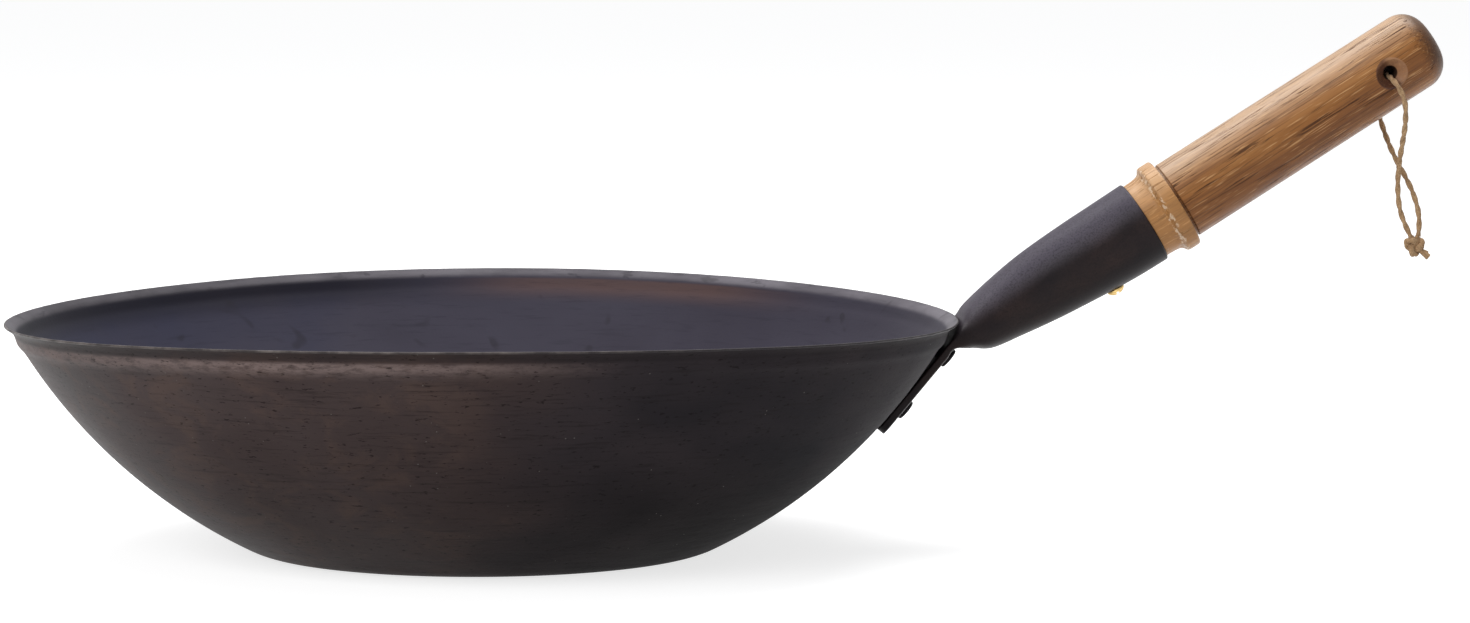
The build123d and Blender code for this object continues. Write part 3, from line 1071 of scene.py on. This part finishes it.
def lip_colour(s, across):
    """Mottled grey with a few stains, painted darker to the left of the middle as shade that evens out
    the key lamp's light there.
    """
    fine = s.noise(s.place((26, 26, 60)), rough=0.6)
    colour = s.mix(s.span(fine, 0.38, 0.62), (0.092, 0.084, 0.098), (0.138, 0.127, 0.145))
    # Painted shade: darker to the left of the middle, lighter towards the handle.
    sides = s.ramp(from_left(s, across), (0.0, 0.60), (0.12, 0.45), (0.5, 0.75), (1.0, 1.0))
    colour = s.mix(1.0, colour, sides, "MULTIPLY")
    stains = s.noise(s.place((75, 75, 210), start=(0.031, 0.012, 0.0)), rough=0.6, twist=0.4)
    return s.paint(colour, (0.030, 0.027, 0.034), s.span(stains, 0.60, 0.68), 0.6)


def edge_steel():
    """The sheet's cut edge at the rim, rubbed brighter in places and dark by the handle."""
    s = Shader("edge_steel")
    where = s.place()
    worn = s.noise(where, 130.0, 5.0, 0.6)
    colour = s.ramp(worn, (0.40, (0.034, 0.028, 0.028)), (0.70, (0.115, 0.098, 0.092)))
    colour = s.paint(colour, (0.016, 0.014, 0.018), s.span(s.axis(where, 0), *dark_edge), 0.75)
    rough = s.ramp(worn, (0.3, 0.5), (0.7, 0.36))
    normal = s.bump(s.noise(where, 1400.0, 3.0), 0.3, 0.0002)
    return s.finish(colour, rough, normal, Metallic=0.15, IOR=1.4, Specular_IOR_Level=0.20)


def socket_steel():
    """Dark oxide scale on the socket, brown in patches, with a painted violet highlight along its upper
    side and painted shade along its underside.
    """
    s = Shader("socket_steel")
    where = s.along_handle()
    cloud = s.noise(s.along_handle(38, 70), 1.0, 5.0, 0.6, 0.3)
    colour = s.ramp(
        cloud,
        (0.28, (0.013, 0.010, 0.012)),
        (0.50, (0.022, 0.015, 0.015)),
        (0.74, (0.036, 0.023, 0.021)),
    )
    rise = s.math("ADD", s.axis(where, 2), s.times(cloud, 0.006))
    # Painted highlight: violet along the upper side.
    colour = s.paint(colour, (0.084, 0.075, 0.098), s.span(rise, *socket_highlight), 0.80)
    # Painted shade along the underside.
    colour = s.paint(colour, (0.009, 0.008, 0.010), s.span(rise, *socket_shade), 0.60)
    grit = s.noise(where, 1500.0, rough=0.7)
    colour = s.paint(colour, (0.008, 0.007, 0.008), s.span(grit, 0.55, 0.35), 0.45)
    rough = s.ramp(cloud, (0.3, 0.38), (0.7, 0.50))
    normal = s.bump(grit, 0.16, 0.0002, s.bump(cloud, 0.10, 0.0008))
    return s.finish(colour, rough, normal, IOR=1.45, Specular_IOR_Level=0.12)


def rivet_steel():
    s = Shader("rivet_steel")
    grit = s.noise(s.place(), 1100.0, rough=0.65)
    colour = s.ramp(grit, (0.35, (0.006, 0.005, 0.006)), (0.68, (0.020, 0.017, 0.018)))
    rough = s.ramp(grit, (0.3, 0.42), (0.7, 0.60))
    return s.finish(colour, rough, s.bump(grit, 0.25, 0.0003), IOR=1.4, Specular_IOR_Level=0.15)


def brass():
    s = Shader("brass")
    marks = s.noise(s.place((260, 260, 900)), 1.0, 3.0, 0.5)
    colour = s.ramp(marks, (0.30, (0.46, 0.30, 0.10)), (0.62, (0.76, 0.55, 0.23)))
    rough = s.ramp(marks, (0.3, 0.36), (0.7, 0.26))
    return s.finish(colour, rough, s.bump(marks, 0.05, 0.0002), Metallic=1.0)


def oak():
    """Oiled oak: warm bands, long dark pores along the grain, fine pale flecks and a painted highlight
    along its top.
    """
    s = Shader("oak")
    where = s.along_handle()
    slow = s.noise(s.along_handle(9, 80), 1.0, 3.0, 0.5, 0.8)
    bands = s.noise(s.along_handle(14, 420), 1.0, 4.0, 0.6, 0.5)
    flecks = s.noise(s.along_handle(90, 1700), 1.0, 2.0, 0.5)
    pores = s.noise(s.along_handle(52, 1150), 1.0, 3.0, 0.6, 0.15)
    gate = s.noise(s.along_handle(20, 240), 1.0, 2.0)
    hair = s.noise(s.along_handle(36, 2300), 1.0, 2.0, 0.55)
    colour = s.ramp(
        slow,
        (0.32, (0.200, 0.073, 0.020)),
        (0.52, (0.290, 0.118, 0.034)),
        (0.70, (0.390, 0.180, 0.060)),
    )
    colour = s.paint(colour, (0.150, 0.056, 0.018), s.span(bands, 0.56, 0.36), 0.62)
    colour = s.paint(colour, (0.66, 0.38, 0.17), s.span(flecks, 0.58, 0.70), 0.55)
    # Painted highlight: paler along the top of the handle.
    colour = s.paint(colour, (0.62, 0.47, 0.33), s.span(s.axis(where, 2), *oak_highlight), 0.52)
    pore = s.times(s.span(pores, 0.44, 0.37), s.span(gate, 0.38, 0.54))
    colour = s.paint(colour, (0.055, 0.021, 0.009), pore, 0.88)
    colour = s.paint(colour, (0.085, 0.033, 0.012), s.span(hair, 0.44, 0.34), 0.72)
    along = s.axis(where, 0)
    colour = hole_marks(s, turning_marks(s, colour, along), along)
    rough = s.ramp(slow, (0.3, 0.30), (0.7, 0.42))
    rough = s.paint(rough, (0.8, 0.8, 0.8), pore, 0.8)
    rough = s.mix(inside_hole(s), rough, (1.0, 1.0, 1.0))
    height = s.math("SUBTRACT", s.times(bands, 0.3), pore)
    return s.finish(colour, rough, s.bump(height, 0.35, 0.0003), IOR=1.46, Specular_IOR_Level=0.22)


def turning_marks(s, colour, along):
    """A pale neck and ring, painted highlights on the torn fillet, a dark cove and painted shade on the
    end.
    """
    pale = s.mix(0.5, colour, (0.64, 0.34, 0.13))
    colour = s.paint(colour, pale, s.span(along, *pale_ring), 0.78)
    fillet = s.times(s.span(along, *glint_start), s.span(along, *glint_end))
    # Painted highlights: pale glints along the torn fillet.
    torn_glints = s.span(s.noise(s.along_handle(700, 420), 1.0, 3.0, 0.7), 0.50, 0.62)
    colour = s.paint(colour, (0.80, 0.62, 0.44), s.times(fillet, torn_glints), 0.8)
    cove = s.times(s.span(along, *cove_start), s.span(along, *cove_end))
    colour = s.paint(colour, (0.055, 0.022, 0.010), cove, 0.45)
    # Painted shade on the handle's end.
    return s.paint(colour, (0.062, 0.027, 0.012), s.span(along, *end_shade), 0.88)


def from_hole(s):
    """Distance from the cross hole's axis."""
    square = s.vector("CROSS_PRODUCT", s.place(start=tuple(hole_centre)), tuple(hole_line))
    return s.vector("LENGTH", square, (0, 0, 0), "Value")


def inside_hole(s):
    return s.span(from_hole(s), *bore_edge)


def hole_marks(s, colour, along):
    """A countersink with painted shade on its side towards the socket, and a bore painted black as shade.
    """
    # Painted shade: the countersink's side towards the socket is dark.
    sink = s.mix(s.span(along, *sink_shade), (0.36, 0.19, 0.10), (0.060, 0.026, 0.022))
    colour = s.paint(colour, sink, s.span(from_hole(s), *sink_edge), 0.75)
    # Painted shade: the bore is painted black.
    return s.paint(colour, (0.022, 0.009, 0.005), inside_hole(s), 0.9)


def jute():
    """Tan jute fibres, lighter and darker along the plies."""
    found = bpy.data.materials.get("jute")
    if found:
        return found
    s = Shader("jute")
    where = s.place()
    fibres = s.noise(where, 2600.0, 4.0, 0.7, 1.2)
    patch = s.noise(where, 330.0, 3.0, 0.5)
    colour = s.ramp(
        fibres,
        (0.30, (0.190, 0.105, 0.055)),
        (0.52, (0.500, 0.325, 0.175)),
        (0.75, (0.740, 0.550, 0.360)),
    )
    colour = s.mix(s.ramp(patch, (0.40, 0.45), (0.62, 0.0)), colour, (0.250, 0.140, 0.072))
    sheen = {"Sheen_Weight": 0.08, "Sheen_Roughness": 0.5}
    return s.finish(colour, 0.88, s.bump(fibres, 0.6, 0.0003), IOR=1.35, Specular_IOR_Level=0.15, **sheen)


# Studio
def seen_directly(tree):
    """1 for camera, glossy and transmission rays."""
    path = tree.nodes.new("ShaderNodeLightPath")
    value = path.outputs["Is Camera Ray"]
    for name in ("Is Glossy Ray", "Is Transmission Ray"):
        either = tree.nodes.new("ShaderNodeMath")
        either.operation = "MAXIMUM"
        tree.links.new(value, either.inputs[0])
        tree.links.new(path.outputs[name], either.inputs[1])
        value = either.outputs[0]
    return value


def make_world():
    """Soft light from all round, with a brighter backdrop for what is seen directly."""
    world = bpy.data.worlds.new("studio")
    world.use_nodes = True
    tree = world.node_tree
    tree.nodes.clear()
    choose = tree.nodes.new("ShaderNodeMixShader")
    tree.links.new(seen_directly(tree), choose.inputs[0])
    shown = ((ambient_colour, ambient_strength), (backdrop_colour, backdrop_strength))
    for i, (colour, strength) in enumerate(shown, start=1):
        background = tree.nodes.new("ShaderNodeBackground")
        background.inputs["Color"].default_value = colour
        background.inputs["Strength"].default_value = strength
        tree.links.new(background.outputs[0], choose.inputs[i])
    out = tree.nodes.new("ShaderNodeOutputWorld")
    tree.links.new(choose.outputs[0], out.inputs[0])
    bpy.context.scene.world = world


def make_floor():
    """A white floor that keeps the object's shadow."""
    signs = ((-1, -1), (1, -1), (1, 1), (-1, 1))
    corners = [(x * floor_reach, y * floor_reach, 0) for x, y in signs]
    floor = mesh_object("floor", corners, [(0, 1, 2, 3)])
    s = Shader("white_floor")
    paint = s.add("ShaderNodeBsdfDiffuse", {"Color": floor_colour})
    glow = s.add("ShaderNodeEmission", {"Strength": s.times(seen_directly(s.tree), floor_glow)})
    both = s.add("ShaderNodeAddShader", {0: paint.outputs[0], 1: glow.outputs[0]})
    s.add("ShaderNodeOutputMaterial", {"Surface": both.outputs[0]})
    floor.data.materials.append(s.material)


def make_lamp(name, place, target, width, depth, power):
    data = bpy.data.lights.new(name, "AREA")
    data.shape = "RECTANGLE"
    data.size = width
    data.size_y = depth
    data.energy = power
    lamp = bpy.data.objects.new(name, data)
    lamp.location = place
    lamp.rotation_euler = (Vector(target) - Vector(place)).to_track_quat("-Z", "Y").to_euler()
    bpy.context.scene.collection.objects.link(lamp)


make_camera()
front_leg, front_exit, front_line = make_leg("twine_front", 1, front_route, front_seed)
back_leg, back_exit, back_line = make_leg("twine_back", -1, back_route, back_seed)
knot = make_knot()
make_bowl()
make_socket()
make_grip()
make_rivet("rivet_lower", 0.0)
make_rivet("rivet_upper", tongue_above - upper_rivet_from_root)
frame["nodes"]["socket_screw"].data.materials.clear()
frame["nodes"]["socket_screw"].data.materials.append(brass())
make_world()
make_floor()
for lamp in lamps:
    make_lamp(*lamp)
bpy.context.scene.view_settings.view_transform = "Standard"
